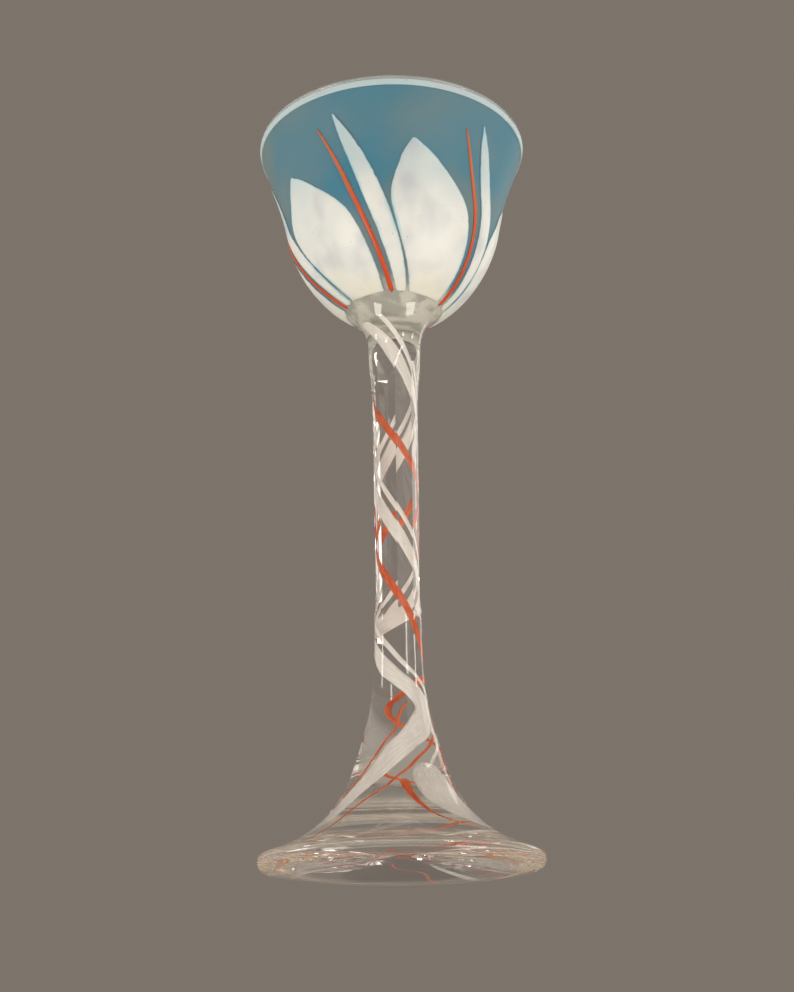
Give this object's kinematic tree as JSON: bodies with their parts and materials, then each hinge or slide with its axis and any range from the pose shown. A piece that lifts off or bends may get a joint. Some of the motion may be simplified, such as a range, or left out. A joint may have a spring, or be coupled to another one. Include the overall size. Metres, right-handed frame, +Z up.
{
  "type": "twist stem goblet",
  "caption": "Tall glass goblet: blue bowl with a white petal overlay and orange trails, a faceted clear stem wound with canes, and a solid flared foot.",
  "frame": {"origin": "centre of the foot's flat underside, on the surface that the goblet stands on", "axes": "+Z up along the stem's axis; -Y is the front, the side that the picture shows"},
  "size_m": [0.0814, 0.0814, 0.22],
  "materials": {
    "clear_glass": "polished and colourless",
    "bowl_glass": "satin and colourless",
    "blue_glass": "satin and translucent",
    "white_overlay": "satin and milky",
    "orange_trail": "satin and nearly opaque",
    "white_cane": "opaque, inside clear glass",
    "orange_cane": "opaque, inside clear glass"
  },
  "bodies": {
    "root": {"bowl_liner": "bowl_glass", "bowl_blue_layer": "blue_glass", "lip_band": "white_overlay", "lip_edge": "bowl_glass", "petal_1": "white_overlay", "petal_2": "white_overlay", "petal_3": "white_overlay", "petal_4": "white_overlay", "petal_5": "white_overlay", "leaf_1": "white_overlay", "leaf_2": "white_overlay", "leaf_3": "white_overlay", "leaf_4": "white_overlay", "leaf_5": "white_overlay", "bowl_trail_1": "orange_trail", "bowl_trail_2": "orange_trail", "bowl_trail_3": "orange_trail", "bowl_trail_4": "orange_trail", "bowl_trail_5": "orange_trail", "joint_bit": "clear_glass", "stem_core": "clear_glass", "stem_casing": "clear_glass", "stem_cane_broad_white": "white_cane", "stem_cane_narrow_white": "white_cane", "stem_cane_orange": "orange_cane", "foot_core": "clear_glass", "foot_casing": "clear_glass", "foot_cane_broad_white": "white_cane", "foot_cane_narrow_white": "white_cane", "foot_cane_orange": "orange_cane", "foot_trail_back": "orange_cane", "foot_trail_front": "orange_cane", "foot_patch_white": "white_cane", "foot_streak_1": "white_cane", "foot_streak_2": "orange_cane", "foot_streak_3": "white_cane", "foot_streak_4": "orange_cane", "foot_streak_5": "white_cane", "foot_streak_6": "orange_cane"}
  },
  "joints": []
}
